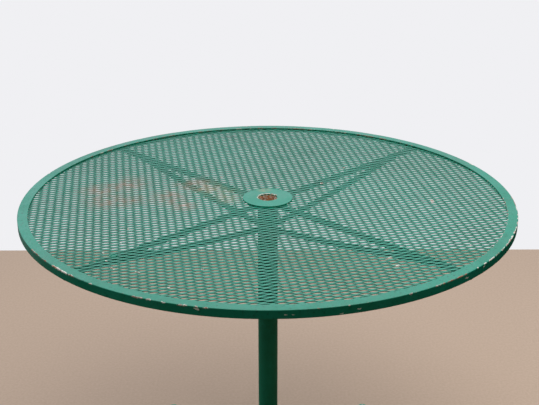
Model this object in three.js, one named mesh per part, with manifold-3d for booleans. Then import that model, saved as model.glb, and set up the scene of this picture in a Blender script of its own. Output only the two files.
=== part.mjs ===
// A round pedestal table of painted steel for the garden. An expanded-metal top in a rolled
// angle rim is carried by four braced arms on a tube post, which is open for an umbrella pole.
// Four braced feet on levelling glides mirror the arms. Units are millimetres and +Z is up.
// The origin is on the floor under the post's axis, and -Y is the front.

import * as THREE from "three";
import { mergeVertices } from "three/addons/utils/BufferGeometryUtils.js";
import Module from "manifold-3d";

const wasm = await Module();
wasm.setup();

// Overall
const TABLE_HEIGHT = 724;
const TOP_RADIUS = 533.4;
const GAP = 0.3; // between pieces that touch or are welded
const CORNER_ANGLES = {
  front_left: 225,
  front_right: 315,
  back_right: 45,
  back_left: 135,
};

// Top: rim, mesh and hub plate
const SHEET = 3.2;
const FLANGE_WIDTH = 21.4;
const SKIRT_HEIGHT = 17.3;
const EDGE_ROUND = 1.6;
const RIM_SEGMENTS = 80;
const MESH_THICKNESS = 1.4;
const MESH_EDGE_CLEARANCE = 1.5;
const HUB_RADIUS = 54.5;
const HUB_HOLE_RADIUS = 21;
const HUB_SEGMENTS = 48;

// Post
const POST_RADIUS = 22.2;
const POST_WALL = 2;
const POST_BOTTOM = 10;
const POST_SEGMENTS = 32;
const POLE_STOP_RADIUS = 28;
const DRAIN_RADIUS = 6;

// Round bars: arms, feet and their braces
const BAR_RADIUS = 6.35;
const BAR_SIDES = 16;
const BRACE_STEPS = 14;
const BRACE_BOW = 4; // how far a brace bends away from its arm or foot at mid length
const BRACE_TIP = 2; // what is left of a brace's height where it runs out on the bar
const ARM_BRACE_DROP = 72; // below the top, at the post
const ARM_BRACE_REACH = 432;
const FOOT_BRACE_HEIGHT = 150; // above the floor, at the post
const FOOT_BRACE_REACH = 290;
const FOOT_HEIGHT = 20; // axis of the foot bars

// Levelling glides
const GLIDE_REACH = 356;
const BOSS_RADIUS = 11;
const BOSS_HALF_HEIGHT = 9.7;
const STEM_RADIUS = 4;
const THREAD_CLEARANCE = 0.3;
const STEM_TOP = 32;
const PAD_RADIUS = 16;
const PAD_HEIGHT = 5;
const HEX_RADIUS = 7.5; // to the corners
const HEX_HEIGHT = 4.7;

// Umbrella clamp, on the back of the post
const CLAMP_HEIGHT = 215;
const CLAMP_BOSS_RADIUS = 9;
const CLAMP_BOSS_FACE = 38; // from the post's axis
const CLAMP_TIP = 21.2;
const CLAMP_SHOULDER = 46;
const CLAMP_HEAD_RADIUS = 7;
const CLAMP_HEAD_LENGTH = 9;
const WING_SPAN = 34;
const WING_HEIGHT = 13;
const WING_THICKNESS = 4;

// Levels that follow from the sizes above
const MESH_TOP = TABLE_HEIGHT - SHEET - GAP;
const MESH_BOTTOM = MESH_TOP - MESH_THICKNESS;
const ARM_HEIGHT = MESH_BOTTOM - GAP - BAR_RADIUS;
const SKIRT_INSIDE = TOP_RADIUS - SHEET;
const BOSS_BOTTOM = FOOT_HEIGHT - BOSS_HALF_HEIGHT;

const paint = { color: 0x3f9a86, roughness: 0.38, metalness: 0 };
const zinc = { color: 0xb4b6b2, roughness: 0.35, metalness: 1 };
const plastic = { color: 0x1c1c1c, roughness: 0.7, metalness: 0 };

const table = new THREE.Group();

function addMesh(parent, name, geometry, finish) {
  const mesh = new THREE.Mesh(geometry, new THREE.MeshStandardMaterial(finish));
  mesh.name = name;
  parent.add(mesh);
}

// Solids ---------------------------------------------------------------------

function toSolid(geometry) {
  const bare = geometry.clone();
  bare.deleteAttribute("normal");
  bare.deleteAttribute("uv");
  const merged = mergeVertices(bare, 1e-3);
  return new wasm.Manifold(
    new wasm.Mesh({
      numProp: 3,
      vertProperties: merged.attributes.position.array,
      triVerts: new Uint32Array(merged.index.array),
    }),
  );
}

function toGeometry(solid) {
  const mesh = solid.getMesh();
  const geometry = new THREE.BufferGeometry();
  geometry.setAttribute("position", new THREE.BufferAttribute(mesh.vertProperties, 3));
  geometry.setIndex(new THREE.BufferAttribute(mesh.triVerts, 1));
  geometry.computeVertexNormals();
  return geometry;
}

const cut = (geometry, ...tools) =>
  toGeometry(tools.reduce((solid, tool) => solid.subtract(toSolid(tool)), toSolid(geometry)));

const join = (...geometries) =>
  toGeometry(geometries.map(toSolid).reduce((solid, other) => solid.add(other)));

// A turned shape about +Z. The profile is [radius, z] points, anticlockwise, not repeated at the
// end. It closes on itself, or starts and ends on the axis.
function turned(profile, segments) {
  const points = profile.map(([radius, z]) => new THREE.Vector2(radius, z));
  if (profile[0][0] > 0) points.push(points[0].clone());
  return new THREE.LatheGeometry(points, segments).rotateX(Math.PI / 2);
}

const ring = (inner, outer, bottom, top, segments) =>
  turned([[inner, bottom], [outer, bottom], [outer, top], [inner, top]], segments);

const disc = (radius, bottom, top, segments) =>
  turned([[0, bottom], [radius, bottom], [radius, top], [0, top]], segments);

// A straight round bar along +X at height z.
function bar(radius, start, end, z, sides) {
  return new THREE.CylinderGeometry(radius, radius, end - start, sides)
    .rotateZ(Math.PI / 2)
    .translate((start + end) / 2, 0, z);
}

// A bar that follows a gentle arc in the XZ plane.
function bowedBar(start, end, bow) {
  const middle = start.clone().add(end).multiplyScalar(0.5);
  middle.z += 2 * bow;
  const section = new THREE.Shape().absarc(0, 0, BAR_RADIUS, 0, 2 * Math.PI);
  return new THREE.ExtrudeGeometry(section, {
    steps: BRACE_STEPS,
    curveSegments: BAR_SIDES / 2,
    extrudePath: new THREE.QuadraticBezierCurve3(start, middle, end),
    bevelEnabled: false,
  });
}

// What is taken away so that a bar's end fits round the post.
const postSpace = () =>
  disc(POST_RADIUS + GAP, -10, TABLE_HEIGHT + 10, POST_SEGMENTS);

// Top ------------------------------------------------------------------------

function rimGeometry() {
  const top = TABLE_HEIGHT;
  const corner = EDGE_ROUND * (1 - Math.SQRT1_2);
  return turned(
    [
      [TOP_RADIUS - FLANGE_WIDTH, top - SHEET],
      [SKIRT_INSIDE, top - SHEET],
      [SKIRT_INSIDE, top - SKIRT_HEIGHT],
      [TOP_RADIUS, top - SKIRT_HEIGHT],
      [TOP_RADIUS, top - EDGE_ROUND],
      [TOP_RADIUS - corner, top - corner],
      [TOP_RADIUS - EDGE_ROUND, top],
      [TOP_RADIUS - FLANGE_WIDTH, top],
    ],
    RIM_SEGMENTS,
  );
}

function meshGeometry() {
  const outline = new THREE.Shape().absarc(
    0, 0, SKIRT_INSIDE - MESH_EDGE_CLEARANCE, 0, 2 * Math.PI,
  );
  outline.holes.push(new THREE.Path().absarc(0, 0, POST_RADIUS + GAP, 0, 2 * Math.PI, true));
  return new THREE.ExtrudeGeometry(outline, {
    depth: MESH_THICKNESS,
    curveSegments: RIM_SEGMENTS / 2,
    bevelEnabled: false,
  }).translate(0, 0, MESH_BOTTOM);
}

function postGeometry() {
  const tube = ring(
    POST_RADIUS - POST_WALL, POST_RADIUS, POST_BOTTOM, MESH_TOP, POST_SEGMENTS,
  );
  const screwHole = bar(
    STEM_RADIUS + 2 * THREAD_CLEARANCE, 0, 2 * POST_RADIUS, CLAMP_HEIGHT, BAR_SIDES,
  ).rotateZ(Math.PI / 2);
  return cut(tube, screwHole);
}

function addTop() {
  addMesh(table, "top_rim", rimGeometry(), paint);
  addMesh(table, "mesh_panel", meshGeometry(), paint);
  const hub = ring(
    HUB_HOLE_RADIUS, HUB_RADIUS, TABLE_HEIGHT - SHEET, TABLE_HEIGHT, HUB_SEGMENTS,
  );
  addMesh(table, "hub_plate", hub, paint);
  addMesh(table, "post_tube", postGeometry(), paint);
  const stop = ring(
    DRAIN_RADIUS, POLE_STOP_RADIUS, POST_BOTTOM - GAP - SHEET, POST_BOTTOM - GAP, POST_SEGMENTS,
  );
  addMesh(table, "pole_stop", stop, paint);
}

// Arms and feet --------------------------------------------------------------

function armGeometry() {
  const length = bar(BAR_RADIUS, 0, SKIRT_INSIDE - GAP, ARM_HEIGHT, BAR_SIDES);
  return cut(length, postSpace());
}

function footGeometry() {
  const length = bar(BAR_RADIUS, 0, GLIDE_REACH, FOOT_HEIGHT, BAR_SIDES);
  const bossSpace = disc(BOSS_RADIUS + GAP, 0, 2 * FOOT_HEIGHT, BAR_SIDES)
    .translate(GLIDE_REACH, 0, 0);
  return cut(length, postSpace(), bossSpace);
}

// A brace from the post to a bar whose near side is at the given level. side is -1 where the
// brace comes up from below, and 1 where it comes down from above.
function braceGeometry(side, atPost, level, reach) {
  const face = level + side * GAP;
  const start = new THREE.Vector3(POST_RADIUS / 2, 0, atPost);
  const end = new THREE.Vector3(reach, 0, face + side * (BRACE_TIP - BAR_RADIUS));
  const spare = 6 * BAR_RADIUS;
  const barSpace = new THREE.BoxGeometry(2 * reach, spare, spare)
    .translate(reach, 0, face - side * spare / 2);
  return cut(bowedBar(start, end, side * BRACE_BOW), postSpace(), barSpace);
}

const armBrace = () => braceGeometry(
  -1, TABLE_HEIGHT - ARM_BRACE_DROP, ARM_HEIGHT - BAR_RADIUS, ARM_BRACE_REACH,
);

const footBrace = () => braceGeometry(
  1, FOOT_BRACE_HEIGHT, FOOT_HEIGHT + BAR_RADIUS, FOOT_BRACE_REACH,
);

// Glides ---------------------------------------------------------------------

function glideBoss() {
  return ring(
    STEM_RADIUS + THREAD_CLEARANCE, BOSS_RADIUS,
    BOSS_BOTTOM, FOOT_HEIGHT + BOSS_HALF_HEIGHT, 24,
  ).translate(GLIDE_REACH, 0, 0);
}

function glideStem() {
  const hexTop = BOSS_BOTTOM - GAP;
  const hexBottom = hexTop - HEX_HEIGHT;
  const hex = disc(HEX_RADIUS, hexBottom, hexTop, 6);
  const shank = disc(STEM_RADIUS, hexBottom + HEX_HEIGHT / 2, STEM_TOP, 16);
  return join(hex, shank).translate(GLIDE_REACH, 0, 0);
}

function glidePad() {
  return turned(
    [
      [0, 0],
      [PAD_RADIUS - 1, 0],
      [PAD_RADIUS, 1],
      [PAD_RADIUS, PAD_HEIGHT - 2],
      [HEX_RADIUS + 1, PAD_HEIGHT],
      [0, PAD_HEIGHT],
    ],
    24,
  ).translate(GLIDE_REACH, 0, 0);
}

function addCorner(corner, angle) {
  const group = new THREE.Group();
  group.rotation.z = THREE.MathUtils.degToRad(angle);
  table.add(group);
  addMesh(group, `arm_${corner}`, armGeometry(), paint);
  addMesh(group, `arm_brace_${corner}`, armBrace(), paint);
  addMesh(group, `foot_${corner}`, footGeometry(), paint);
  addMesh(group, `foot_brace_${corner}`, footBrace(), paint);
  addMesh(group, `glide_boss_${corner}`, glideBoss(), paint);
  addMesh(group, `glide_stem_${corner}`, glideStem(), zinc);
  addMesh(group, `glide_pad_${corner}`, glidePad(), plastic);
}

// Umbrella clamp -------------------------------------------------------------

// Built along +X at the clamp's height, then turned to the back of the post.
function clampBoss() {
  const blank = bar(CLAMP_BOSS_RADIUS, 0, CLAMP_BOSS_FACE, CLAMP_HEIGHT, 24);
  const thread = bar(
    STEM_RADIUS + THREAD_CLEARANCE, 0, 2 * CLAMP_BOSS_FACE, CLAMP_HEIGHT, BAR_SIDES,
  );
  return cut(blank, postSpace(), thread).rotateZ(Math.PI / 2);
}

function clampScrew() {
  const headEnd = CLAMP_SHOULDER + CLAMP_HEAD_LENGTH;
  const shank = bar(STEM_RADIUS, CLAMP_TIP, CLAMP_SHOULDER + 2, CLAMP_HEIGHT, BAR_SIDES);
  const head = bar(CLAMP_HEAD_RADIUS, CLAMP_SHOULDER, headEnd, CLAMP_HEIGHT, 24);
  const halfSpan = (WING_SPAN - WING_HEIGHT) / 2;
  const outline = new THREE.Shape()
    .absarc(halfSpan, 0, WING_HEIGHT / 2, -Math.PI / 2, Math.PI / 2)
    .absarc(-halfSpan, 0, WING_HEIGHT / 2, Math.PI / 2, 1.5 * Math.PI);
  const wing = new THREE.ExtrudeGeometry(outline, {
    depth: WING_THICKNESS,
    curveSegments: 8,
    bevelEnabled: false,
  })
    .rotateY(Math.PI / 2)
    .translate(headEnd - WING_THICKNESS - 1, 0, CLAMP_HEIGHT);
  return join(shank, head, wing).rotateZ(Math.PI / 2);
}

addTop();
for (const [corner, angle] of Object.entries(CORNER_ANGLES)) addCorner(corner, angle);
addMesh(table, "clamp_boss", clampBoss(), paint);
addMesh(table, "clamp_screw", clampScrew(), zinc);

export default table;
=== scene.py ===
# The looks of a round pedestal table of painted steel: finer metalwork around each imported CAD
# part, expanded metal, welds, threads and worn paint. Metres, +Z up, -Y is the front.

import math

import bmesh
import bpy
import numpy as np
from mathutils import Euler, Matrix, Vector


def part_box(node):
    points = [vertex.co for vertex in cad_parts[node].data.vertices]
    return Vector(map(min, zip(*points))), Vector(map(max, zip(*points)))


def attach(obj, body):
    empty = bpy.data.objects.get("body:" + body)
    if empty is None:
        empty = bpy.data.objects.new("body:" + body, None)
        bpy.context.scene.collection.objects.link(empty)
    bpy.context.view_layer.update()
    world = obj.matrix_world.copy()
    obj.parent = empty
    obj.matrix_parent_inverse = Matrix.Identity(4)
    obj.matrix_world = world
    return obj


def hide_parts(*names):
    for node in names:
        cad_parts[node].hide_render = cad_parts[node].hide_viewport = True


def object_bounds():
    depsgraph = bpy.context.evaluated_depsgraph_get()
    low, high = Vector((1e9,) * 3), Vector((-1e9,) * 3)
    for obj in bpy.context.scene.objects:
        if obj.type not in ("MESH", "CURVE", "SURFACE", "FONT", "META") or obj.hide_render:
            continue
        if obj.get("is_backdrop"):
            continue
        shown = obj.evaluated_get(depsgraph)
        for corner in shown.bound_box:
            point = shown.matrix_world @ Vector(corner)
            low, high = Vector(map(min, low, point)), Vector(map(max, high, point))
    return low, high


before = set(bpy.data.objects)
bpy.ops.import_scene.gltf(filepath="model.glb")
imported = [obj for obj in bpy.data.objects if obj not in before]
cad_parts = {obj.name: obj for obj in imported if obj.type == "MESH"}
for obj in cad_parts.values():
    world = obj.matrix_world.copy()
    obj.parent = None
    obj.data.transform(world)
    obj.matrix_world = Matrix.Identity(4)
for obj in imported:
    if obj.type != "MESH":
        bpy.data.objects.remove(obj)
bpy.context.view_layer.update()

MM = 0.001
TURN = 2 * math.pi
CORNERS = ("front_left", "front_right", "back_right", "back_left")

# Camera, looking at the middle of the top
CAMERA_DISTANCE = 4.113  # in radii of the top
CAMERA_ELEVATION = 21.02
CAMERA_LENS = 67.1
CAMERA_SENSOR = 36
CAMERA_NUDGE = (-0.311, -0.102, -0.108)  # degrees of pitch, yaw and roll, off the middle

# Stage
FLOOR_HALF = 1.34
FLOOR_THICKNESS = 0.02
SKY_BRIGHTEST = (-0.2, 0.62, 0.76)  # the direction that the sky is brightest in
LAMP_PLACE = (0.8, -0.1, 2.9)
LAMP_AIM = (0, 0, 0.7)
LAMP_SIZE = 2.4
LAMP_WATTS = 38
SKYLIGHT = (0.94, 0.98, 1.12, 1)
FRONT_LIGHT = (1.0, 1.0, 0.74, 1)
BACKDROP_COLOUR = (0.871, 0.871, 0.896, 1)
FLOOR_COLOURS = ((0.510, 0.376, 0.272, 1), (0.556, 0.416, 0.303, 1))
FLOOR_BOUNCE = (0.09, 0.094, 0.036, 1)

# Expanded metal
CELL_LENGTH = 33.4 * MM
CELL_HEIGHT = 12.86 * MM
CELL_LENGTH_TURN = math.radians(11.1)
CELL_HEIGHT_TURN = math.radians(98.5)
HOLE_TIP = 13.8 * MM
HOLE_FLAT = 2.2 * MM
HOLE_TOP = 2.97 * MM
STRAND_EDGE = 0.3 * MM
PANEL_SAG = 1.2 * MM
PANEL_RIPPLE = 0.35 * MM

# Turned and bent steel
RIM_SEGMENTS = 480
RIM_WANDER = 0.35 * MM
EDGE_SUPPORT = 1.6 * MM  # from an edge's rounding to where its wear has died out
HUB_STEP = 0.84  # where the hub's raised middle ends, in its radii
HUB_DROP = 0.2 * MM
BAR_SIDES = 40
BRACE_BOW = 4 * MM
BRACE_STEPS = 48
SCREW_HOLE = 4.7 * MM  # radius of the clamp screw's hole in the post

# Welds
WELD_STEP = 0.7 * MM
WELD_RIPPLE = 1.7 * MM  # from one ripple of a bead to the next
WELD_SIDES = 10
LAP_LENGTH = 46 * MM
RIM_TACKS = 36
RIM_TACK_INSET = 7 * MM  # from the flange's inner edge
RIM_TACK_HALF = 5 * MM
ARM_TACK_STEP = 92 * MM
ARM_TACK_HALF = 4 * MM
PLUG_REACH = 0.789  # of the plug weld over the front left arm, in radii of the top
PLUG_RADIUS = 6.2 * MM

# Threads, heads, pads and wing
THREAD_PITCH = 1.25 * MM
THREAD_DEPTH = 0.62 * MM
THREAD_STEPS = 10
THREAD_SIDES = 48
HEAD_CHAMFER = 0.7 * MM
PAD_CROWN = ((0.93, 0.48), (0.82, 0.72), (0.66, 0.9))  # in the pad's radii and heights
WING_SIDES = 64
WING_LAYERS = (  # how far each is from the screw's back, and how far its outline is drawn in
    (1.0 * MM, 1.0 * MM), (1.3 * MM, 0.4 * MM), (2.0 * MM, 0.0),
    (4.0 * MM, 0.0), (4.7 * MM, 0.4 * MM), (5.0 * MM, 1.0 * MM),
)

GREEN = (0.0060, 0.254, 0.154, 1)
DEEP_GREEN = (0.0040, 0.213, 0.122, 1)
CHALKY_GREEN = (0.014, 0.315, 0.215, 1)
PRIMER = (0.76, 0.72, 0.63, 1)
RUST = (0.36, 0.150, 0.070, 1)
DARK_RUST = (0.125, 0.052, 0.028, 1)
ORANGE_RUST = (0.62, 0.27, 0.11, 1)
# the dark of grit in the paint's pores, and of the painted shade on upright sides
SOOT_AND_SHADE = (0.003, 0.045, 0.030, 1)
GRIME = (0.016, 0.085, 0.055, 1)
STAIN = (0.26, 0.150, 0.075, 1)
# pale olive: faded paint on the panel, and the painted sheen on the hub's back edge
FADED_AND_SHEEN = (0.31, 0.29, 0.14, 1)

CHIP_STRETCH = 3.2  # how much longer than tall the rim's chips are


# Measures from the frame ------------------------------------------------------


def node_points(node, turn=0.0):
    """A CAD node's vertices, n by 3, as they are once it is turned back by turn about Z."""
    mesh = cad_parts[node].data
    points = np.empty(len(mesh.vertices) * 3)
    mesh.vertices.foreach_get("co", points)
    return spun(points.reshape(-1, 3), -turn)


def spun(points, turn):
    """Points turned about the Z axis."""
    c, s = math.cos(turn), math.sin(turn)
    return points @ np.array([[c, s, 0], [-s, c, 0], [0, 0, 1]])


def node_radii(node):
    """The nearest and the farthest that a CAD node's vertices are from the Z axis."""
    away = np.hypot(*node_points(node)[:, :2].T)
    return away.min(), away.max()


def corner_turn(corner):
    """The direction of a corner's arm and foot, from the +X axis."""
    low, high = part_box(f"arm_{corner}")
    return math.atan2(low.y + high.y, low.x + high.x)


def corner_box(part):
    """The box of a part of the front left corner, once it is turned back onto the +X axis."""
    points = node_points(f"{part}_front_left", corner_turn("front_left"))
    return Vector(points.min(0)), Vector(points.max(0))


RIM_LOW, RIM_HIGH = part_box("top_rim")
TOP, TOP_RADIUS = RIM_HIGH.z, RIM_HIGH.x
FLANGE_INNER = node_radii("top_rim")[0]
HUB_LOW, HUB_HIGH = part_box("hub_plate")
HUB_HOLE, HUB_RADIUS = node_radii("hub_plate")
SHEET = HUB_HIGH.z - HUB_LOW.z
SKIRT_INSIDE = TOP_RADIUS - SHEET
PANEL_LOW, PANEL_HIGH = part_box("mesh_panel")
PANEL_HOLE, PANEL_RADIUS = node_radii("mesh_panel")
POST_LOW, POST_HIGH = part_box("post_tube")
POST_BORE, POST_RADIUS = node_radii("post_tube")
ARM_LOW, ARM_HIGH = corner_box("arm")
BAR_RADIUS = (ARM_HIGH.z - ARM_LOW.z) / 2
FOOT_LOW, FOOT_HIGH = corner_box("foot")
BOSS_LOW, BOSS_HIGH = corner_box("glide_boss")
BOSS_RADIUS = (BOSS_HIGH.x - BOSS_LOW.x) / 2
GLIDE_REACH = (BOSS_HIGH.x + BOSS_LOW.x) / 2
GAP = PANEL_LOW.z - ARM_HIGH.z


# Mesh making ------------------------------------------------------------------


def grid_faces(rows, columns, round_rows=False, round_columns=True, first=0):
    """The quads of a grid of vertices, numbered along each row in turn."""
    i, j = np.meshgrid(
        np.arange(rows - (not round_rows)), np.arange(columns - (not round_columns)), indexing="ij"
    )
    i, j = i.ravel(), j.ravel()
    after, beside = (i + 1) % rows, (j + 1) % columns
    corners = (i * columns + j, after * columns + j, after * columns + beside, i * columns + beside)
    return (first + np.stack(corners, axis=1)).tolist()


def stacked(rows):
    """A closed solid through rows of points, with a flat cap at each end."""
    rows = np.asarray(rows, float)
    count, columns = rows.shape[:2]
    faces = grid_faces(count, columns)
    faces.append(list(range(columns)))
    faces.append(list(range(count * columns - 1, (count - 1) * columns - 1, -1)))
    return rows.reshape(-1, 3), faces


def fillet(corners, steps=5):
    """A closed outline, anticlockwise, with its corners rounded. Each corner is (x, y, radius).
    Gives the points, and how much of an outer edge each one is, from 0 to 1."""
    sharp = np.array([corner[:2] for corner in corners])
    sides = np.roll(sharp, -1, 0) - sharp
    lengths = np.linalg.norm(sides, axis=1)
    sides /= lengths[:, None]
    radii = np.array([corner[2] for corner in corners])
    halves = np.arccos(-(sides * np.roll(sides, 1, 0)).sum(1)) / 2
    reaches = radii / np.tan(halves)
    spare = np.minimum(EDGE_SUPPORT, 0.4 * (lengths - reaches - np.roll(reaches, -1)))
    points, edges = [], []
    for k, here in enumerate(sharp):
        back, ahead = -sides[k - 1], sides[k]
        outer = back[0] * ahead[1] - back[1] * ahead[0] < 0
        inwards = (back + ahead) / np.linalg.norm(back + ahead)
        centre = here + inwards * radii[k] / math.sin(halves[k])
        sweep = np.linspace(0, 1, steps + 1)[:, None]
        arc = here - centre + reaches[k] * ((1 - sweep) * back + sweep * ahead)
        arc *= radii[k] / np.linalg.norm(arc, axis=1)[:, None]
        points.append(here + back * (reaches[k] + spare[k - 1]))
        points += list(centre + arc)
        points.append(here + ahead * (reaches[k] + spare[k]))
        edges += [0.0] + [float(outer)] * (steps + 1) + [0.0]
    return np.array(points), np.array(edges)


def turned(outline, segments, shrink=0.0):
    """An outline of (radius, z) points turned about Z. With shrink, its radius wanders inwards."""
    turns = TURN * np.arange(segments) / segments
    wander = 0.5 + 0.3 * np.sin(3 * turns + 1) + 0.2 * np.sin(7 * turns + 2)
    radii = outline[:, 0] - shrink * wander[:, None]
    points = np.stack(
        [np.cos(turns)[:, None] * radii, np.sin(turns)[:, None] * radii,
         np.broadcast_to(outline[:, 1], radii.shape)], axis=2
    )
    return points.reshape(-1, 3), grid_faces(segments, len(outline), True)


def swept(path, away, radii, sides, closed=False):
    """A round tube along a path. away points across the path, and says where its sides start."""
    path = np.asarray(path, float)
    if closed:
        along = np.roll(path, -1, 0) - np.roll(path, 1, 0)
    else:
        along = np.gradient(path, axis=0)
    along /= np.linalg.norm(along, axis=1)[:, None]
    away = np.broadcast_to(np.asarray(away, float), path.shape)
    side = away - (away * along).sum(1)[:, None] * along
    side /= np.linalg.norm(side, axis=1)[:, None]
    up = np.cross(along, side)
    angles = TURN * np.arange(sides) / sides
    radii = np.broadcast_to(np.asarray(radii, float), len(path))[:, None, None]
    ring = np.cos(angles)[:, None] * side[:, None] + np.sin(angles)[:, None] * up[:, None]
    rows = path[:, None] + radii * ring
    if closed:
        return rows.reshape(-1, 3), grid_faces(len(path), sides, True)
    return stacked(rows)


def joined(*solids):
    """Several solids as one list of vertices and faces."""
    points, faces, first = [], [], 0
    for vertices, polygons in solids:
        points.append(vertices)
        faces += [[first + v for v in polygon] for polygon in polygons]
        first += len(vertices)
    return np.concatenate(points), faces


def piece(name, solid, material, body="frame", stands_for=(), edges=None,
          sharp=38, outward=True):
    """A shown piece that rides on a body. edges is the wear attribute, a number for each vertex."""
    points, faces = solid
    mesh = bpy.data.meshes.new(name)
    mesh.from_pydata(np.asarray(points).tolist(), [], faces)
    if edges is not None:
        mesh.attributes.new("edge", "FLOAT", "POINT").data.foreach_set("value", edges)
    if outward:
        face_outwards(mesh)
    mesh.materials.append(material)
    made = bpy.data.objects.new(name, mesh)
    bpy.context.scene.collection.objects.link(made)
    smooth(made, sharp)
    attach(made, body)
    if stands_for:
        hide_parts(*stands_for)
    return made


def face_outwards(mesh):
    shell = bmesh.new()
    shell.from_mesh(mesh)
    bmesh.ops.recalc_face_normals(shell, faces=shell.faces)
    shell.to_mesh(mesh)
    shell.free()


def smooth(made, sharp):
    made.data.shade_smooth()
    made.data.set_sharp_from_angle(angle=math.radians(sharp))


def carve(made, solid, operation, materials):
    """Cuts a piece by a solid, joins them or keeps only what they share."""
    mesh = bpy.data.meshes.new("tool")
    mesh.from_pydata(np.asarray(solid[0]).tolist(), [], solid[1])
    face_outwards(mesh)
    tool = bpy.data.objects.new("tool", mesh)
    bpy.context.scene.collection.objects.link(tool)
    cut = made.modifiers.new("cut", "BOOLEAN")
    cut.object = tool
    cut.operation = operation
    cut.solver = "MANIFOLD"
    bpy.context.view_layer.update()
    carved = bpy.data.meshes.new_from_object(
        made.evaluated_get(bpy.context.evaluated_depsgraph_get())
    )
    made.modifiers.clear()
    made.data = carved
    carved.materials.clear()
    for material in materials:
        carved.materials.append(material)
    bpy.data.objects.remove(tool)


# Materials --------------------------------------------------------------------


class Tree:
    """A material's node tree, with short ways to add the nodes that the finishes use."""

    def __init__(self, tree):
        self.tree = tree

    def add(self, kind, inputs=(), **settings):
        node = self.tree.nodes.new(kind)
        for name, value in settings.items():
            setattr(node, name, value)
        for name, value in dict(inputs).items():
            if isinstance(value, bpy.types.NodeSocket):
                self.tree.links.new(value, node.inputs[name])
            else:
                node.inputs[name].default_value = value
        return node

    def place(self):
        return self.add("ShaderNodeTexCoord").outputs["Object"]

    def noise(self, place, scale, detail=3.0, roughness=0.5):
        sockets = {"Vector": place, "Scale": scale, "Detail": detail, "Roughness": roughness}
        return self.add("ShaderNodeTexNoise", sockets).outputs["Fac"]

    def ramp(self, value, low, high, to_low=0.0, to_high=1.0):
        sockets = {"Value": value, "From Min": low, "From Max": high,
                   "To Min": to_low, "To Max": to_high}
        node = self.add("ShaderNodeMapRange", sockets, interpolation_type="SMOOTHSTEP")
        return node.outputs["Result"]

    def maths(self, operation, first, second):
        sockets = {0: first, 1: second}
        return self.add("ShaderNodeMath", sockets, operation=operation).outputs[0]

    def mix(self, factor, first, second):
        sockets = {0: factor, 6: first, 7: second}
        return self.add("ShaderNodeMix", sockets, data_type="RGBA").outputs[2]

    def edge(self):
        return self.add("ShaderNodeAttribute", attribute_name="edge").outputs["Fac"]

    def bump(self, height, distance, strength=1.0, below=None):
        sockets = {"Height": height, "Distance": distance, "Strength": strength}
        if below is not None:
            sockets["Normal"] = below
        return self.add("ShaderNodeBump", sockets).outputs["Normal"]

    def spots(self, place, centres):
        """1 at each centre, falling to 0 at its radius. A centre is (x, y, z, radius)."""
        found = 0.0
        for x, y, z, radius in centres:
            away = self.add(
                "ShaderNodeVectorMath", {0: place, 1: (x, y, z)}, operation="DISTANCE"
            ).outputs["Value"]
            found = self.maths("MAXIMUM", found, self.ramp(away, 0, radius, 1, 0))
        return found

    def unrolled(self, place, reach):
        """The place as a shortened distance round the post's axis, radius and height. reach is
        the radius that the distance is measured at."""
        x, y, z = self.add("ShaderNodeSeparateXYZ", {0: place}).outputs
        turn = self.maths("ARCTAN2", y, x)
        away = self.add("ShaderNodeVectorMath", {0: place, 1: (1, 1, 0)}, operation="MULTIPLY")
        away = self.add("ShaderNodeVectorMath", {0: away.outputs[0]}, operation="LENGTH")
        along = self.maths("MULTIPLY", turn, reach / CHIP_STRETCH)
        sockets = {0: along, 1: away.outputs["Value"], 2: z}
        return self.add("ShaderNodeCombineXYZ", sockets).outputs[0]

    def warped(self, place, scale, amount):
        """The place, shifted about by noise, so that a spot has a ragged outline."""
        sockets = {"Vector": place, "Scale": scale, "Detail": 3.0}
        noise = self.add("ShaderNodeTexNoise", sockets).outputs["Color"]
        centred = self.add(
            "ShaderNodeVectorMath", {0: noise, 1: (0.5, 0.5, 0.5)}, operation="SUBTRACT"
        ).outputs[0]
        sockets = {0: centred, 1: (amount, amount, amount), 2: place}
        return self.add("ShaderNodeVectorMath", sockets, operation="MULTIPLY_ADD").outputs[0]


def new_material(name):
    """A material with one Principled shader. Gives the material, its Tree and the shader."""
    material = bpy.data.materials.new(name)
    material.use_nodes = True
    shader = material.node_tree.nodes["Principled BSDF"]
    return material, Tree(material.node_tree), shader


def finish_with(tree, shader, **sockets):
    for name, value in sockets.items():
        tree.tree.links.new(value, shader.inputs[name.replace("_", " ")])


def enamel(tree, place, grain, grit, wall_shade):
    """The colour of sound paint: two greens and chalking, with dirt in its pores. wall_shade is how dark
    the painted shade on its upright sides is."""
    broad = tree.noise(place, 3.2, 3)
    mottle = tree.noise(place, 38, 5, 0.6)
    colour = tree.mix(tree.ramp(broad, 0.36, 0.64), DEEP_GREEN, GREEN)
    chalk = tree.maths("MULTIPLY", tree.ramp(mottle, 0.42, 0.72, 0, 0.5), tree.ramp(grain, 0.3, 0.7))
    colour = tree.mix(chalk, colour, CHALKY_GREEN)
    gritty = tree.ramp(tree.noise(place, 170, 5, 0.75), 0.54, 0.66, 0, grit)
    colour = tree.mix(gritty, colour, SOOT_AND_SHADE)
    grimy = tree.ramp(tree.noise(place, 14, 6, 0.7), 0.56, 0.74, 0, 0.45)
    colour = tree.mix(grimy, colour, GRIME)
    # painted shade: sides that face sideways, such as the walls of the openings in the expanded metal, are
    # darkened towards soot green for the shade they get
    if wall_shade:
        facing = tree.add("ShaderNodeTexCoord").outputs["Normal"]
        level = tree.add("ShaderNodeSeparateXYZ", {0: facing}).outputs["Z"]
        colour = tree.mix(tree.ramp(level, 0.4, 0.9, wall_shade, 0), colour, SOOT_AND_SHADE)
    return colour


def stained(tree, place, colour, centres, tint, strength):
    """The colour with soft, broken patches of a tint."""
    patch = tree.spots(tree.warped(place, 14, 50 * MM), centres)
    broken = tree.ramp(tree.noise(place, 60, 5, 0.6), 0.36, 0.62, 0.25, 1)
    patch = tree.maths("MULTIPLY", patch, broken)
    return tree.mix(tree.maths("MULTIPLY", patch, strength), colour, tint)


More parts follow.
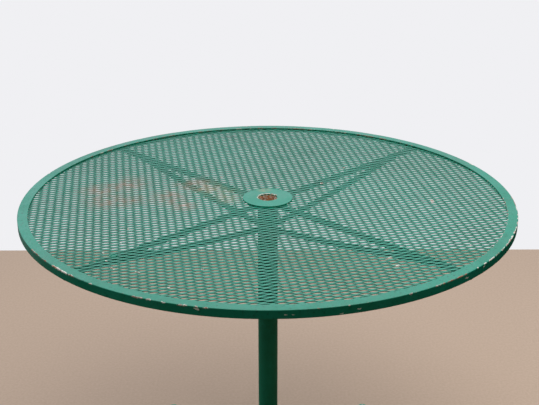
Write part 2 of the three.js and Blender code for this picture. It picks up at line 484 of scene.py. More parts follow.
def worn_edge(tree, place, wear, worn, reach):
    """Where the paint has worn off the piece's outer edges, from 0 to 1."""
    patchy = tree.noise(place, 62, 5, 0.65)
    if worn:
        lengths = tree.spots(tree.unrolled(place, reach), worn)
        patchy = tree.maths("ADD", patchy, tree.maths("MULTIPLY", 0.18, lengths))
    bare_from = 0.66 - 0.2 * wear
    edge = tree.ramp(tree.edge(), 0.5, 0.9)
    return tree.maths("MULTIPLY", edge, tree.ramp(patchy, bare_from, bare_from + 0.04))


def flaked(tree, place, chips, rusty, reach):
    """Where the paint has chipped off, and where rust shows in the chips, each from 0 to 1."""
    ragged = tree.unrolled(tree.warped(place, 190, 6 * MM), reach)
    torn = tree.ramp(tree.noise(place, 520, 4, 0.7), 0.3, 0.7, -0.22, 0.22)
    flakes = tree.maths("ADD", tree.spots(ragged, [*chips, *rusty]), torn)
    core = tree.maths("SUBTRACT", tree.spots(ragged, rusty), torn)
    core = tree.maths("MULTIPLY", core, tree.ramp(tree.noise(place, 240, 3), 0.36, 0.5, 0.4, 1))
    return tree.ramp(flakes, 0.36, 0.46), tree.ramp(core, 0.46, 0.62, 0, 0.9)


def splashed_rust(tree, place, low):
    """Rust that is thicker near the floor, from 0 to 1."""
    height = tree.add("ShaderNodeSeparateXYZ", {0: place}).outputs["Z"]
    splashed = tree.ramp(height, 8 * MM, 60 * MM, low, 0)
    bitten = tree.maths("ADD", tree.noise(place, 85, 6, 0.7), splashed)
    return tree.ramp(bitten, 0.70, 0.76, 0, 0.9)


def paint(name, wear, chips=(), rusty=(), stains=(), faded_and_sheen=(), worn=(), specks=0.745, low=0.0,
          wall_shade=0.0, grit=0.2, reach=TOP_RADIUS):
    """Worn green enamel. wear is how bare its edges are, low how rusty it is near the floor, wall_shade how
    much painted shade darkens its upright sides and grit how dark the dirt in its pores. chips show primer,
    rusty ones rust in their middles, stains are soft brown patches and faded patches are pale: faded paint
    on the panel, and a painted sheen on the hub's back edge. Chips and worn lengths of edge run round the
    post's axis, and are unrolled at reach."""
    material, tree, shader = new_material(name)
    place = tree.place()
    grain = tree.noise(place, 310, 3, 0.6)
    colour = enamel(tree, place, grain, grit, wall_shade)
    if stains:
        colour = stained(tree, place, colour, stains, STAIN, 0.8)
    # pale patches: faded paint, and on the hub a painted sheen
    if faded_and_sheen:
        colour = stained(tree, place, colour, faded_and_sheen, FADED_AND_SHEEN, 0.6)

    bare_edge = worn_edge(tree, place, wear, worn, reach)
    bare, rusted = flaked(tree, place, chips, rusty, reach)
    bare = tree.maths("MAXIMUM", bare_edge, bare)
    rusty_edge = tree.maths("MULTIPLY", bare_edge, tree.ramp(tree.noise(place, 31, 4), 0.42, 0.54))
    speck = tree.ramp(tree.noise(place, 150, 4, 0.75), specks, specks + 0.02)
    for rust in (speck, rusty_edge):
        rusted = tree.maths("MAXIMUM", rusted, rust)
    if low:
        rusted = tree.maths("MAXIMUM", rusted, splashed_rust(tree, place, low))
    brown = tree.ramp(tree.noise(place, 120, 4, 0.7), 0.35, 0.65)
    rust_colour = tree.mix(brown, DARK_RUST, RUST)
    colour = tree.mix(bare, colour, PRIMER)
    colour = tree.mix(rusted, colour, rust_colour)

    lost = tree.maths("MAXIMUM", bare, rusted)
    rough = tree.ramp(tree.noise(place, 22, 5, 0.65), 0.3, 0.7, 0.30, 0.46)
    rough = tree.maths("MAXIMUM", rough, tree.ramp(lost, 0, 1, 0.0, 0.8))
    peel = tree.bump(tree.noise(place, 420, 2), 0.10 * MM, 0.35)
    flaw = tree.bump(grain, 0.25 * MM, 0.25, peel)
    normal = tree.bump(lost, 0.25 * MM, -0.8, flaw)
    finish_with(tree, shader, Base_Color=colour, Roughness=rough, Normal=normal)
    return material


def bare_rust(name):
    """The unpainted inside of the tube, rusted through and through."""
    material, tree, shader = new_material(name)
    place = tree.place()
    flakes = tree.noise(place, 95, 6, 0.7)
    colour = tree.mix(tree.ramp(flakes, 0.30, 0.54), DARK_RUST, ORANGE_RUST)
    pale = tree.ramp(tree.noise(place, 130, 5, 0.7), 0.49, 0.57, 0, 0.9)
    colour = tree.mix(pale, colour, PRIMER)
    normal = tree.bump(flakes, 0.6 * MM, 0.7)
    rough = tree.ramp(flakes, 0.3, 0.7, 0.78, 0.95)
    finish_with(tree, shader, Base_Color=colour, Roughness=rough, Normal=normal)
    return material


def zinc(name):
    """Dull zinc plate, a little spangled, with white bloom and a few rusty pits."""
    material, tree, shader = new_material(name)
    place = tree.place()
    bloom = tree.noise(place, 120, 5, 0.65)
    colour = tree.mix(tree.ramp(bloom, 0.35, 0.7), (0.42, 0.43, 0.42, 1), (0.60, 0.60, 0.57, 1))
    pits = tree.ramp(tree.noise(place, 330, 4, 0.7), 0.66, 0.71, 0, 0.8)
    colour = tree.mix(pits, colour, RUST)
    rough = tree.ramp(bloom, 0.3, 0.7, 0.30, 0.55)
    metal = tree.ramp(pits, 0, 0.8, 1, 0.1)
    normal = tree.bump(bloom, 0.1 * MM, 0.4)
    finish_with(tree, shader, Base_Color=colour, Roughness=rough, Metallic=metal, Normal=normal)
    return material


def plastic(name):
    """Black moulded plastic, grey with dust and scuffed where it stands."""
    material, tree, shader = new_material(name)
    place = tree.place()
    dust = tree.noise(place, 85, 5, 0.65)
    colour = tree.mix(tree.ramp(dust, 0.4, 0.75), (0.016, 0.016, 0.017, 1), (0.060, 0.055, 0.048, 1))
    normal = tree.bump(tree.noise(place, 900, 2), 0.06 * MM, 0.5)
    rough = tree.ramp(dust, 0.3, 0.7, 0.55, 0.8)
    finish_with(tree, shader, Base_Color=colour, Roughness=rough, Normal=normal)
    return material


def unrolled(degrees, radius, z, size, reach=TOP_RADIUS):
    """A spot at an angle from +X round the post's axis, in the unrolled space of the chips."""
    return (math.radians(degrees) * reach / CHIP_STRETCH, radius, z, size * MM)


def rim_paint():
    """The rim's wear, as (degrees, millimetres) along its upper edge and down its skirt."""
    edge, level = TOP_RADIUS - MM, TOP - MM
    white = [(-138.4, 3), (-137.2, 4), (-136.3, 3), (-135.0, 4), (-134.1, 3), (-132.5, 3),
             (-109.9, 2.5), (-55.5, 2), (-24.6, 3)]
    rusty = [(-62, 2.4), (-147, 2.5), (-126.5, 2.5), (-115.8, 3.2), (-114.6, 3), (-112.8, 2.8), (-106.4, 3),
             (-105.4, 2.6), (-103.3, 2.4), (-101.4, 2.6), (-32, 3), (-29, 3), (-26.4, 3.5),
             (-21.9, 4), (24, 4), (71, 4), (96, 5), (128, 4), (163, 3)]
    down = [(-103.3, 3.5, 3), (-103.0, 5.5, 2.4), (-86.8, 9, 1.5), (-85.4, 9.5, 1.5),
            (-76.3, 14, 2.2), (-72.8, 9, 2.2), (-47, 9, 3), (-41, 5, 2.5), (-8, 7, 4), (52, 8, 4)]
    chips = [unrolled(turn, edge, level, size) for turn, size in white]
    chips += [unrolled(turn, TOP_RADIUS, TOP - drop * MM, size) for turn, drop, size in down]
    rusted = [unrolled(turn, edge, level, size) for turn, size in rusty]
    worn = [unrolled(turn, edge, level, size) for turn, size in
            ((-145, 24), (-136, 24), (-52, 30), (-37, 40), (-28, 50), (-18, 55), (-6, 50),
             (62, 60), (80, 60), (100, 60), (120, 60), (140, 50))]
    return paint("rim_paint", 0.2, chips, rusted, worn=worn, grit=0.6)


def on_panel(spots):
    """Spots on the panel, from rows of x and y in radii of the top, and a size in millimetres."""
    return [(x * TOP_RADIUS, y * TOP_RADIUS, PANEL_HIGH.z, size * MM) for x, y, size in spots]


def chips_on_panel(spots):
    """The same, for chips, whose space is unrolled."""
    return [unrolled(math.degrees(math.atan2(y, x)), math.hypot(x, y) * TOP_RADIUS, PANEL_HIGH.z,
                     size) for x, y, size in spots]


def panel_paint():
    rusty = chips_on_panel([
        (0.43, -0.59, 6), (0.67, -0.03, 7), (0.23, 0.18, 6), (0.34, 0.38, 5), (-0.54, -0.67, 4),
        (-0.22, -0.68, 4), (-0.45, -0.70, 3.5), (-0.53, -0.32, 3), (-0.20, 0.26, 5),
        (-0.34, -0.07, 6)])
    white = chips_on_panel([
        (-0.59, -0.54, 3), (-0.57, -0.61, 3), (-0.54, -0.45, 2.5), (-0.33, -0.82, 3),
        (0.455, -0.65, 4.5), (0.74, -0.48, 3.5), (-0.67, -0.42, 2.5),
        (-0.14, -0.05, 3.5), (-0.17, -0.18, 3.5), (-0.10, -0.03, 3.5), (-0.35, 0.41, 4)])
    stains = on_panel([
        (-0.70, 0.10, 70), (-0.59, 0.175, 75), (-0.64, 0.15, 55), (-0.66, -0.02, 75),
        (-0.57, -0.02, 65), (-0.40, 0.02, 70), (-0.31, 0.165, 70), (-0.26, 0.13, 50),
        (-0.335, -0.07, 45)])
    faded_and_sheen = on_panel([(-0.24, 0.12, 60), (-0.20, 0.065, 65), (-0.17, 0.02, 55)])
    # the walls of the openings get strong painted shade
    return paint("panel_paint", 0.0, white, rusty, stains, faded_and_sheen, specks=0.73, wall_shade=0.9,
                 grit=0.05)


def hub_paint():
    """The hub's wear, as (degrees, millimetres) round its hole, and a painted sheen: a pale patch over its
    back edge.
    """
    def around_hole(spots):
        return [unrolled(turn, HUB_HOLE + MM, TOP - MM, size, HUB_HOLE) for turn, size in spots]

    white = around_hole([(-176, 2.6), (166, 2.4), (143, 2.8), (118, 2.2), (84, 2.4), (40, 2.2)])
    rusty = around_hole([(-150, 2.4), (-112, 2.2), (176, 3), (152, 2.6), (101, 2.6), (62, 2.6)])
    # painted sheen: a pale patch on the hub's back edge stands in for the light it catches there
    faded_and_sheen = [(-12 * MM, HUB_RADIUS - 8 * MM, TOP, 26 * MM)]
    return paint("hub_paint", 0.6, white, rusty, faded_and_sheen=faded_and_sheen, reach=HUB_HOLE)


# Pieces: the top --------------------------------------------------------------


def add_rim(material):
    outline, edge = fillet([
        (FLANGE_INNER, TOP - SHEET, 0.5 * MM),
        (SKIRT_INSIDE, TOP - SHEET, 2.6 * MM),
        (SKIRT_INSIDE, RIM_LOW.z, 0.7 * MM),
        (TOP_RADIUS, RIM_LOW.z, 0.9 * MM),
        (TOP_RADIUS, TOP, 1.3 * MM),
        (FLANGE_INNER, TOP, 0.7 * MM),
    ])
    solid = turned(outline, RIM_SEGMENTS, RIM_WANDER)
    piece("rim", solid, material, stands_for=["top_rim"], edges=np.tile(edge, RIM_SEGMENTS))


def opening_outline(grow):
    """The six corners of an opening in the expanded metal, moved outwards by grow."""
    slope = np.array((HOLE_TOP, HOLE_TIP - HOLE_FLAT))
    slope /= np.linalg.norm(slope)
    top = HOLE_TOP + grow
    tip = HOLE_TIP + grow / slope[0]
    flat = (slope[0] * HOLE_TIP + grow - slope[1] * top) / slope[0]
    return np.array([(tip, 0), (flat, top), (-flat, top), (-tip, 0), (-flat, -top), (flat, -top)])


def expanded_metal(radius):
    """A sheet of diamond cells whose centres lie within a radius, with a ragged edge."""
    length = np.array((math.cos(CELL_LENGTH_TURN), math.sin(CELL_LENGTH_TURN)))
    height = np.array((math.cos(CELL_HEIGHT_TURN), math.sin(CELL_HEIGHT_TURN)))
    across = int(radius / CELL_HEIGHT) + 3
    i, j = np.mgrid[-across:across + 1, -across:across + 1].reshape(2, -1)
    shift = np.repeat((0, 0.5), len(i))[:, None]
    steps = np.tile(np.stack([i, j], axis=1), (2, 1)) + shift
    centres = steps[:, :1] * length * CELL_LENGTH + steps[:, 1:] * height * CELL_HEIGHT
    centres = centres[np.hypot(*centres.T) < radius]
    cells = len(centres)

    def placed(outline):
        local = outline[:, :1] * length + outline[:, 1:] * height
        return centres[:, None] + local

    half = np.array([(CELL_LENGTH, 0), (0, CELL_HEIGHT), (-CELL_LENGTH, 0), (0, -CELL_HEIGHT)]) / 2
    bonds = placed(half).reshape(-1, 2)
    _, first, of_cell = np.unique(
        np.round(bonds / (0.05 * MM)).astype(int), axis=0, return_index=True, return_inverse=True
    )
    bonds, of_cell = bonds[first], of_cell.reshape(cells, 4)
    count = len(bonds)
    top, bottom = PANEL_HIGH.z, PANEL_LOW.z
    rings = ((STRAND_EDGE, top), (0, top - STRAND_EDGE), (0, bottom))
    parts = [np.column_stack([bonds, np.full(count, z)]) for z in (top, bottom)]
    for grow, z in rings:
        outline = placed(opening_outline(grow)).reshape(-1, 2)
        parts.append(np.column_stack([outline, np.full(len(outline), z)]))
    points = np.concatenate(parts)
    under = of_cell + count
    ring = [2 * count + k * 6 * cells + np.arange(6 * cells).reshape(cells, 6) for k in range(3)]
    faces = []
    for k in range(4):
        # a quad along each side of the diamond, and a triangle over each flat of the opening
        after = (k + 1) % 4
        tip, flat = ((0, 1), (2, 3), (3, 4), (5, 0))[k]
        over = [of_cell[:, k], of_cell[:, after], ring[0][:, flat], ring[0][:, tip]]
        below = [under[:, k], under[:, after], ring[2][:, flat], ring[2][:, tip]]
        faces += np.stack(over, 1).tolist() + np.stack(below[::-1], 1).tolist()
    for k, (left, right) in ((1, (2, 1)), (3, (5, 4))):
        over = [of_cell[:, k], ring[0][:, left], ring[0][:, right]]
        below = [under[:, k], ring[2][:, left], ring[2][:, right]]
        faces += np.stack(over, 1).tolist() + np.stack(below[::-1], 1).tolist()
    for upper, lower in ((ring[0], ring[1]), (ring[1], ring[2])):
        wall = [upper, np.roll(upper, -1, 1), np.roll(lower, -1, 1), lower]
        faces += np.stack(wall, 2).reshape(-1, 4).tolist()

    start, end = of_cell.ravel(), np.roll(of_cell, -1, 1).ravel()
    pair = np.sort(np.stack([start, end]), axis=0)
    _, which, times = np.unique(pair[0] * count + pair[1], return_inverse=True, return_counts=True)
    outside = times[which.ravel()] == 1
    start, end = start[outside], end[outside]
    faces += np.stack([start, start + count, end + count, end], 1).tolist()
    return sagged(points), faces


def sagged(points):
    """Lets the sheet sag between the arms, and ripple a little, where nothing holds it."""
    x, y = points[:, 0], points[:, 1]
    away, turn = np.hypot(x, y), np.arctan2(y, x)
    free = (1 + np.cos(4 * turn)) / 2
    span = np.clip((away - HUB_RADIUS) / (FLANGE_INNER - HUB_RADIUS), 0, 1)
    free *= np.sin(math.pi * span)
    ripple = np.sin(31 * x + 12 * y + 1) + np.sin(47 * y - 22 * x) + np.sin(70 * x + 53 * y + 2)
    points[:, 2] -= free * (PANEL_SAG + PANEL_RIPPLE * ripple)
    return points


def ring_solid(inner, outer, bottom, top, segments):
    outline = np.array([(inner, bottom), (outer, bottom), (outer, top), (inner, top)])
    return turned(outline, segments)


def add_panel(material):
    solid = expanded_metal(PANEL_RADIUS + CELL_LENGTH)
    made = piece("expanded_metal", solid, material, stands_for=["mesh_panel"], outward=False)
    spare = 10 * MM
    around_it = ring_solid(PANEL_HOLE, PANEL_RADIUS, PANEL_LOW.z - spare, PANEL_HIGH.z + spare, 256)
    carve(made, around_it, "INTERSECT", [material])
    smooth(made, 30)


def add_hub(material):
    step = HUB_STEP * HUB_RADIUS
    outline, edge = fillet([
        (HUB_HOLE, HUB_LOW.z, 0.4 * MM),
        (HUB_RADIUS, HUB_LOW.z, 0.4 * MM),
        (HUB_RADIUS, TOP - HUB_DROP, 0.8 * MM),
        (step + MM, TOP - HUB_DROP, 0.5 * MM),
        (step - MM, TOP, 0.5 * MM),
        (HUB_HOLE, TOP, 1.0 * MM),
    ], steps=4)
    edge[outline[:, 0] > HUB_HOLE + 4 * MM] = 0
    segments = 128
    piece("hub", turned(outline, segments), material, stands_for=["hub_plate"],
          edges=np.tile(edge, segments))


# Pieces: bars and posts -------------------------------------------------------


def coped(row, along, radius, centre=0.0):
    """Slides a row of points along a direction, onto an upright cylinder round (centre, 0)."""
    reach = np.sqrt(np.maximum(radius**2 - row[:, 1] ** 2, 0))
    side = 1 if centre == 0 else -1
    travel = (centre + side * reach - row[:, 0]) / along[0]
    return row + travel[:, None] * along


def bar_rows(path):
    """The rows of points round a bar that follows a path in the XZ plane."""
    points, _ = swept(path, (0, 1, 0), BAR_RADIUS, BAR_SIDES)
    return points.reshape(len(path), BAR_SIDES, 3)


def direction(path):
    steps = np.gradient(path, axis=0)
    return steps / np.linalg.norm(steps, axis=1)[:, None]


def straight_bar(z, end, boss=None):
    """A bar from the post along +X. It ends flat, or fitted round a boss."""
    path = np.array([(POST_RADIUS, 0, z), (POST_RADIUS + 4 * BAR_RADIUS, 0, z),
                     (end - 4 * BAR_RADIUS, 0, z), (end, 0, z)])
    rows = bar_rows(path)
    rows[0] = coped(rows[0], np.array((1.0, 0, 0)), POST_RADIUS + GAP)
    if boss:
        rows[-1] = coped(rows[-1], np.array((1.0, 0, 0)), BOSS_RADIUS + GAP, boss)
    return rows


def brace_bar(part, side):
    """A brace that bows away from its bar, and is flattened where it lies along it. side is -1
    below the arm and 1 above the foot."""
    low, high = corner_box(part)
    points = node_points(f"{part}_front_left", corner_turn("front_left"))
    near = points[points[:, 0] < low.x + BAR_RADIUS]
    far = points[points[:, 0] > high.x - MM]
    level = high.z if side < 0 else low.z
    start = np.array((POST_RADIUS, 0, (near[:, 2].min() + near[:, 2].max()) / 2))
    tip = far[:, 2].min() + BAR_RADIUS if side < 0 else far[:, 2].max() - BAR_RADIUS
    end = np.array((high.x, 0, tip))
    middle = (start + end) / 2 + (0, 0, 2 * side * BRACE_BOW)
    t = np.linspace(0, 1, BRACE_STEPS)[:, None]
    path = (1 - t) ** 2 * start + 2 * t * (1 - t) * middle + t**2 * end
    rows = bar_rows(path)
    rows[0] = coped(rows[0], direction(path)[0], POST_RADIUS + GAP)
    keep = np.minimum if side < 0 else np.maximum
    rows[..., 2] = keep(rows[..., 2], level)
    return rows, level


# Pieces: welds ----------------------------------------------------------------


def evenly(path, step, closed):
    """Points along a path at even steps."""
    path = np.asarray(path, float)
    if closed:
        path = np.vstack([path, path[:1]])
    run = np.concatenate([[0], np.cumsum(np.linalg.norm(np.diff(path, axis=0), axis=1))])
    count = max(int(run[-1] / step), 8)
    at = np.linspace(0, run[-1], count + 1)
    if closed:
        at = at[:-1]
    return np.stack([np.interp(at, run, path[:, k]) for k in range(3)], axis=1), at


def bead(path, radius, centre=None, side=(0, 0, 1), closed=False):
    """A weld bead along a path, with the ripples of its making and uneven in width. Round a
    centre, its sides face away from that."""
    line, at = evenly(path, WELD_STEP, closed)
    away = side if centre is None else line - np.asarray(centre)
    wander = 0.07 * np.sin(at * 210 + 1) + 0.06 * np.sin(at * 570 + 2)
    radii = radius * (1 + 0.055 * np.sin(TURN * at / WELD_RIPPLE) + wander)
    if not closed:
        from_end = np.minimum(at, at[-1] - at) / (1.4 * radius)
        radii *= np.sqrt(np.clip(from_end, 0.05, 1))
    return swept(line, away, radii, WELD_SIDES, closed)


def circle(radius, z, steps=96):
    turns = TURN * np.arange(steps) / steps
    return np.column_stack([radius * np.cos(turns), radius * np.sin(turns), np.full(steps, z)])


def below(ring):
    """The lower part of a ring of points round a bar, whose second quarter starts at its top."""
    start, end = int(0.38 * BAR_SIDES), int(1.12 * BAR_SIDES)
    return ring[np.arange(start, end + 1) % BAR_SIDES]


def lapping_bead(rows, level, radius):
    """A bead down one side of a brace's flat, round its end and back up the other side."""
    flat = np.abs(rows[..., 2] - level) < 0.01 * MM
    end = rows[-1, :, 0].max()
    near = [k for k in range(len(rows)) if rows[k, 0, 0] > end - LAP_LENGTH and flat[k].any()]
    half = [np.abs(rows[k][flat[k]][:, 1]).max() for k in near]
    along = [rows[k, 0, 0] for k in near]
    path = [(x, -y, level) for x, y in zip(along, half)]
    turn = np.linspace(-math.pi / 2, math.pi / 2, 9)[1:-1]
    path += [(end + 0.5 * half[-1] * math.cos(t), half[-1] * math.sin(t), level) for t in turn]
    path += [(x, y, level) for x, y in zip(along[::-1], half[::-1])]
    return bead(path, radius)


# Assembling -------------------------------------------------------------------


def add_floor():
    """A pale floor. It sends less light back up than it shows, as matting would."""
    material, tree, shader = new_material("floor")
    place = tree.place()
    colour = tree.mix(tree.ramp(tree.noise(place, 140, 4, 0.6), 0.3, 0.7), *FLOOR_COLOURS)
    finish_with(tree, shader, Base_Color=colour)
    shader.inputs["Roughness"].default_value = 0.9
    shader.inputs["Specular IOR Level"].default_value = 0.2
    absorbing = tree.add("ShaderNodeBsdfDiffuse", {"Color": FLOOR_BOUNCE})
    seen = tree.add("ShaderNodeLightPath").outputs["Is Camera Ray"]
    both = tree.add("ShaderNodeMixShader", {0: seen, 1: absorbing.outputs[0], 2: shader.outputs[0]})
    output = tree.tree.nodes["Material Output"]
    tree.tree.links.new(both.outputs[0], output.inputs["Surface"])
    outline = np.array([(-1, -1), (1, -1), (1, 1), (-1, 1)]) * FLOOR_HALF
    rows = [np.column_stack([outline, np.full(4, z)]) for z in (-FLOOR_THICKNESS, 0)]
    points, faces = stacked(rows)
    mesh = bpy.data.meshes.new("floor")
    mesh.from_pydata(points.tolist(), [], faces)
    mesh.materials.append(material)
    floor = bpy.data.objects.new("floor", mesh)
    bpy.context.scene.collection.objects.link(floor)
    floor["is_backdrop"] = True


def set_light():
    """A plain backdrop, and soft light from above and behind that fades to the right."""
    world = bpy.data.worlds.new("studio")
    world.use_nodes = True
    bpy.context.scene.world = world
    sky = Tree(world.node_tree)
    sky.tree.nodes.clear()
    towards = sky.add("ShaderNodeTexCoord").outputs["Generated"]
    lit = sky.add(
        "ShaderNodeVectorMath", {0: towards, 1: SKY_BRIGHTEST}, operation="DOT_PRODUCT"
    ).outputs["Value"]
    to_right, _, high = sky.add("ShaderNodeSeparateXYZ", {0: towards}).outputs
    behind = sky.ramp(lit, 0.0, 0.9, 0.02, 0.95)
    glow = sky.maths("ADD", behind, sky.ramp(high, 0.26, 0.62, 0, 0.42))
    glow = sky.maths("MULTIPLY", glow, sky.ramp(to_right, 0.1, 0.6, 1, 0.1))
    tint = sky.mix(sky.ramp(lit, 0.05, 0.5), FRONT_LIGHT, SKYLIGHT)
    soft = sky.add("ShaderNodeBackground", {"Color": tint, "Strength": glow})
    plain = sky.add("ShaderNodeBackground", {"Color": BACKDROP_COLOUR, "Strength": 1.0})
    seen = sky.add("ShaderNodeLightPath").outputs["Is Camera Ray"]
    both = sky.add("ShaderNodeMixShader", {0: seen, 1: soft.outputs[0], 2: plain.outputs[0]})
    sky.add("ShaderNodeOutputWorld", {"Surface": both.outputs[0]})
    bpy.context.scene.view_settings.view_transform = "Standard"

    lamp = bpy.data.lights.new("overhead", "AREA")
    lamp.shape = "DISK"
    lamp.size = LAMP_SIZE
    lamp.energy = LAMP_WATTS
    above = bpy.data.objects.new("overhead", lamp)
    bpy.context.scene.collection.objects.link(above)
    above.location = LAMP_PLACE
    downwards = Vector(LAMP_AIM) - Vector(LAMP_PLACE)
    above.rotation_euler = downwards.to_track_quat("-Z", "Y").to_euler()


def set_camera():
    low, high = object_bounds()
    aim = Vector(((low.x + high.x) / 2, (low.y + high.y) / 2, high.z))
    away = CAMERA_DISTANCE * (high.x - low.x) / 2
    tilt = math.radians(CAMERA_ELEVATION)
    data = bpy.data.cameras.new("camera")
    data.lens = CAMERA_LENS
    data.sensor_width = CAMERA_SENSOR
    camera = bpy.data.objects.new("camera", data)
    bpy.context.scene.collection.objects.link(camera)
    camera.location = aim + away * Vector((0, -math.cos(tilt), math.sin(tilt)))
    turn = (aim - camera.location).to_track_quat("-Z", "Y")
    nudge = Euler([math.radians(x) for x in CAMERA_NUDGE])
    camera.rotation_euler = (turn @ nudge.to_quaternion()).to_euler()
    bpy.context.scene.camera = camera


def add_post(inside):
    outline, edge = fillet([
        (POST_BORE, POST_LOW.z, 0.3 * MM),
        (POST_RADIUS, POST_LOW.z, 0.4 * MM),
        (POST_RADIUS, POST_HIGH.z, 0.4 * MM),
        (POST_BORE, POST_HIGH.z, 0.3 * MM),
    ], steps=3)
    segments = 96
    made = piece("post", turned(outline, segments), FRAME_PAINT, stands_for=["post_tube"],
                 edges=np.tile(edge, segments))
    low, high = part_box("clamp_screw")
    level = (low.z + high.z) / 2
    path = [(0, POST_BORE / 2, level), (0, 2 * POST_RADIUS, level)]
    carve(made, swept(path, (1, 0, 0), SCREW_HOLE, 32), "DIFFERENCE", [FRAME_PAINT, inside])
    unpainted = POST_BORE + 0.3 * MM
    for face in made.data.polygons:
        face.material_index = int(math.hypot(*face.center[:2]) < unpainted)
    smooth(made, 38)


def round_rows(profile, radii_at=None, first=0.0):
    """Rows of points round the Z axis for (radius, z) in profile, the first of them at an angle
    from +X. radii_at caps the radius at each point of a row."""
    turns = first + TURN * np.arange(THREAD_SIDES) / THREAD_SIDES
    rows = []
    for radius, z in profile:
        radii = np.full(THREAD_SIDES, float(radius))
        if radii_at is not None:
            radii = np.minimum(radii, radii_at)
        rows.append(np.column_stack([radii * np.cos(turns), radii * np.sin(turns),
                                     np.full(THREAD_SIDES, z)]))
    return rows


def thread_rows(radius, start, end, first=0.0):
    """Rows of points of a screw thread, with a chamfer at its end."""
    count = int(abs(end - start) / THREAD_PITCH * THREAD_STEPS)
    turns = first + TURN * np.arange(THREAD_SIDES) / THREAD_SIDES
    rows = []
    for z in np.linspace(start, end, count):
        crest = 0.5 + 0.5 * np.cos(TURN * z / THREAD_PITCH - turns)
        radii = np.minimum(radius - THREAD_DEPTH * (1 - crest), radius - THREAD_PITCH + abs(end - z))
        rows.append(np.column_stack([radii * np.cos(turns), radii * np.sin(turns),
                                     np.full(THREAD_SIDES, z)]))
    return rows


def hexagon(flat):
    """The distance from the middle of a hexagon to its side, at each point of a row."""
    turns = TURN * np.arange(THREAD_SIDES) / THREAD_SIDES
    return flat / np.cos(turns % (TURN / 6) - TURN / 12)


def add_glide(corner, placed):
    def at_reach(solid):
        return placed((np.asarray(solid[0]) + (GLIDE_REACH, 0, 0), solid[1]))

    bore = np.hypot(*(node_points("glide_boss_front_left", corner_turn("front_left"))
                      - (GLIDE_REACH, 0, 0))[:, :2].T).min()
    outline, edge = fillet([
        (bore, BOSS_LOW.z, 0.6 * MM), (BOSS_RADIUS, BOSS_LOW.z, MM),
        (BOSS_RADIUS, BOSS_HIGH.z, 1.2 * MM), (bore, BOSS_HIGH.z, 0.6 * MM),
    ])
    segments = 64
    piece(f"boss_{corner}", at_reach(turned(outline, segments)), FRAME_PAINT,
          stands_for=[f"glide_boss_{corner}"], edges=np.tile(edge, segments))

    low, high = corner_box("glide_stem")
    stem = node_points("glide_stem_front_left", corner_turn("front_left")) - (GLIDE_REACH, 0, 0)
    away = np.hypot(stem[:, 0], stem[:, 1])
    corner_radius, shank = away.max(), away[stem[:, 2] > high.z - MM].max()
    first = math.atan2(*stem[away.argmax(), [1, 0]])
    head_top = BOSS_LOW.z - GAP
    flat = corner_radius * math.cos(TURN / 12)
    profile = [(0.97 * flat, low.z), (corner_radius, low.z + HEAD_CHAMFER),
               (corner_radius, head_top - HEAD_CHAMFER), (0.97 * flat, head_top)]
    rows = round_rows(profile, hexagon(flat), first) + thread_rows(shank, head_top, high.z, first)
    piece(f"levelling_stem_{corner}", at_reach(stacked(rows)), ZINC, f"glide_{corner}",
          [f"glide_stem_{corner}"], sharp=32)

    pad_low, pad_high = corner_box("glide_pad")
    radius = (pad_high.x - pad_low.x) / 2
    height = pad_high.z - pad_low.z
    bulge = np.linspace(-math.pi / 2, math.pi / 2, 9)
    side = [(radius - MM + MM * math.cos(t), MM + MM * math.sin(t)) for t in bulge]
    crown = [(radius * out, height * up) for out, up in PAD_CROWN]
    profile = [(radius - 2.4 * MM, 0), *side, *crown, (corner_radius + 0.8 * MM, height)]
    rows = round_rows([(r, pad_low.z + z) for r, z in profile])
    piece(f"levelling_pad_{corner}", at_reach(stacked(rows)), PLASTIC, f"glide_{corner}",
          [f"glide_pad_{corner}"])


def add_stop():
    low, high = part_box("pole_stop")
    drain, radius = node_radii("pole_stop")
    outline, edge = fillet([(drain, low.z, 0.5 * MM), (radius, low.z, 0.6 * MM),
                            (radius, high.z, 0.8 * MM), (drain, high.z, 0.5 * MM)])
    segments = 96
    piece("stop_plate", turned(outline, segments), FRAME_PAINT, stands_for=["pole_stop"],
          edges=np.tile(edge, segments))


def to_back(points, level):
    """Points built about the Z axis, laid along +Y at a level above the floor."""
    return points[:, [0, 2, 1]] * (-1, 1, 1) + (0, 0, level)


def add_clamp():
    low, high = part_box("clamp_boss")
    level = (low.z + high.z) / 2
    radius = (high.x - low.x) / 2
    screw = node_points("clamp_screw") - (0, 0, level)
    screw_away = np.hypot(screw[:, 0], screw[:, 2])
    shank = screw_away[screw[:, 1] < screw[:, 1].min() + MM].max()
    start = POST_RADIUS + GAP
    bore = shank + GAP
    outline, edge = fillet([(bore, start, 0.3 * MM), (radius, start, 0.3 * MM),
                            (radius, high.y, 1.2 * MM), (bore, high.y, 0.8 * MM)])
    segments = 64
    points, faces = turned(outline, segments)
    # the half of the collar nearer the post is drawn back onto it
    fade = np.clip((high.y - points[:, 2]) / (high.y - start) * 2 - 1, 0, 1)
    points[:, 2] -= fade * (start - np.sqrt(start**2 - points[:, 0] ** 2))
    piece("clamp_collar", (to_back(points, level), faces), FRAME_PAINT, stands_for=["clamp_boss"],
          edges=np.tile(edge, segments))

    fitted = circle(radius, 0, 72)
    fitted[:, 2] = np.sqrt(start**2 - fitted[:, 0] ** 2)
    welds = [bead(to_back(fitted, level), 2.3 * MM, (0, start, level), closed=True)]
    for z in (PANEL_LOW.z - 1.2 * MM, POST_LOW.z + 0.8 * MM):
        welds.append(bead(circle(POST_RADIUS + 1.2 * MM, z), 2.1 * MM, (0, 0, z), closed=True))
    piece("post_welds", joined(*welds), WELD_PAINT)
    add_wing_screw(level, shank)


